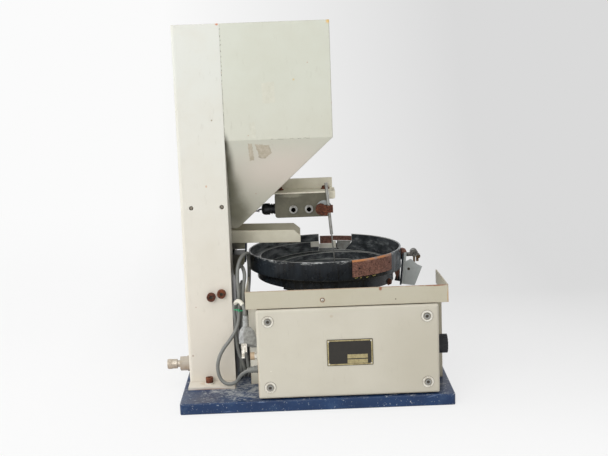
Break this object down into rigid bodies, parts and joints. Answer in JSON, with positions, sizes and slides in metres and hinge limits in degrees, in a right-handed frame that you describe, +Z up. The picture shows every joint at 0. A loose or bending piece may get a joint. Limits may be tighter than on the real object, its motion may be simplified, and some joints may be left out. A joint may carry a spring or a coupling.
{
  "type": "vibratory bowl feeder",
  "caption": "Vibratory bowl feeder on a base plate: a column holds a supply hopper and an in-line tray over a stepped bowl on a torsion drive, with a level switch and a controller.",
  "frame": {"origin": "centre of the base plate's underside", "axes": "+Z up along the column, +X to the right seen from the controller, +Y to the back"},
  "size_m": [0.4926, 0.381, 0.6363],
  "materials": {
    "base_enamel": "gloss enamel, scratched and chipped, with pale specks",
    "column_enamel": "cream enamel over folded sheet, scuffed",
    "hopper_enamel": "pale enamel, stained along the seams",
    "cabinet_enamel": "cream enamel, with brown edges",
    "tray_steel": "worn sheet steel, yellowed",
    "switch_enamel": "olive grey enamel",
    "bracket_enamel": "cream enamel, rust at its edges",
    "bowl_coating": "black coating, rubbed bright on the track",
    "rusty_steel": "bare steel under brown rust",
    "bare_steel": "plain steel, dull",
    "black_casting": "black painted casting",
    "spring_steel": "blued spring steel",
    "isolator_rubber": "moulded rubber",
    "coil_winding": "lacquered copper winding under tape",
    "black_plastic": "moulded phenolic",
    "cord_jacket": "grey vinyl",
    "cable_jacket": "black vinyl",
    "plate_print": "black field with a brass-coloured border",
    "board_laminate": "green laminate",
    "fitting_metal": "nickel-plated, stained",
    "ring_plastic": "ivory washers"
  },
  "bodies": {
    "frame": {"base_plate": "base_enamel", "column_foot": "column_enamel", "column": "column_enamel", "column_cover": "column_enamel", "cover_plate_screws": "bare_steel", "foot_bolts": "rusty_steel", "foot_washers": "ring_plastic", "hopper": "hopper_enamel", "tray_shelf": "switch_enamel", "shelf_screws": "rusty_steel", "tray_drive_base": "switch_enamel", "tray_springs": "spring_steel", "tray_coil": "coil_winding", "drive_isolators": "isolator_rubber", "drive_base": "black_casting", "drive_coil": "coil_winding", "drive_core": "bare_steel", "leaf_springs": "spring_steel", "lower_clamps": "black_casting", "switch_bracket": "bracket_enamel", "bracket_bolts": "rusty_steel", "switch_housing": "switch_enamel", "switch_cover": "switch_enamel", "switch_bolts": "bare_steel", "shaft_bush": "ring_plastic", "cable_gland": "black_plastic", "sensor_cable": "cable_jacket", "guard": "cabinet_enamel", "control_box": "cabinet_enamel", "control_cover": "cabinet_enamel", "cover_rings": "ring_plastic", "cover_screws": "bare_steel", "nameplate": "plate_print", "circuit_board": "board_laminate", "speed_pot": "bare_steel", "fuse_holder": "fitting_metal", "strain_relief": "black_plastic", "power_cord": "cord_jacket", "cord_plug": "cord_jacket", "air_fitting": "fitting_metal"},
    "bowl_unit": {"bowl": "bowl_coating", "spiral_track": "bowl_coating", "bowl_bolt": "bare_steel", "patch_plate": "rusty_steel", "notch_bar": "rusty_steel", "notch_guide": "tray_steel", "notch_wedge": "bare_steel", "outlet_block": "rusty_steel", "outlet_post": "spring_steel", "outlet_plate": "bare_steel", "outlet_nozzle": "bare_steel", "drive_crown": "black_casting", "armature": "bare_steel", "upper_clamps": "black_casting"},
    "tray_unit": {"tray": "tray_steel", "tray_carriage": "switch_enamel"},
    "level_wand": {"wand_shaft": "rusty_steel", "wand_clamp": "rusty_steel", "wand_rod": "bare_steel"},
    "speed_control": {"speed_knob": "black_plastic"}
  },
  "joints": [
    {"name": "bowl_shake", "type": "hinge", "parent": "frame", "child": "bowl_unit", "pos_m": [0.025, 0.0245, 0.15], "axis": [0, 0, 1], "range_deg": [-0.5, 0.5], "stiffness_Nm_per_rad": 160, "deforming": ["leaf_springs"]},
    {"name": "tray_shake", "type": "slide", "parent": "frame", "child": "tray_unit", "axis": [1, 0, 0], "range_m": [-0.0004, 0.0004], "stiffness_N_per_m": 9000, "deforming": ["tray_springs"]},
    {"name": "wand_swing", "type": "hinge", "parent": "frame", "child": "level_wand", "pos_m": [0.02602, -0.0005, 0.30895], "axis": [0, 1, 0], "range_deg": [-15, 15], "stiffness_Nm_per_rad": 0.25},
    {"name": "speed_turn", "type": "hinge", "parent": "frame", "child": "speed_control", "pos_m": [0.2, -0.1455, 0.09345], "axis": [1, 0, 0], "range_deg": [-135, 135]}
  ]
}
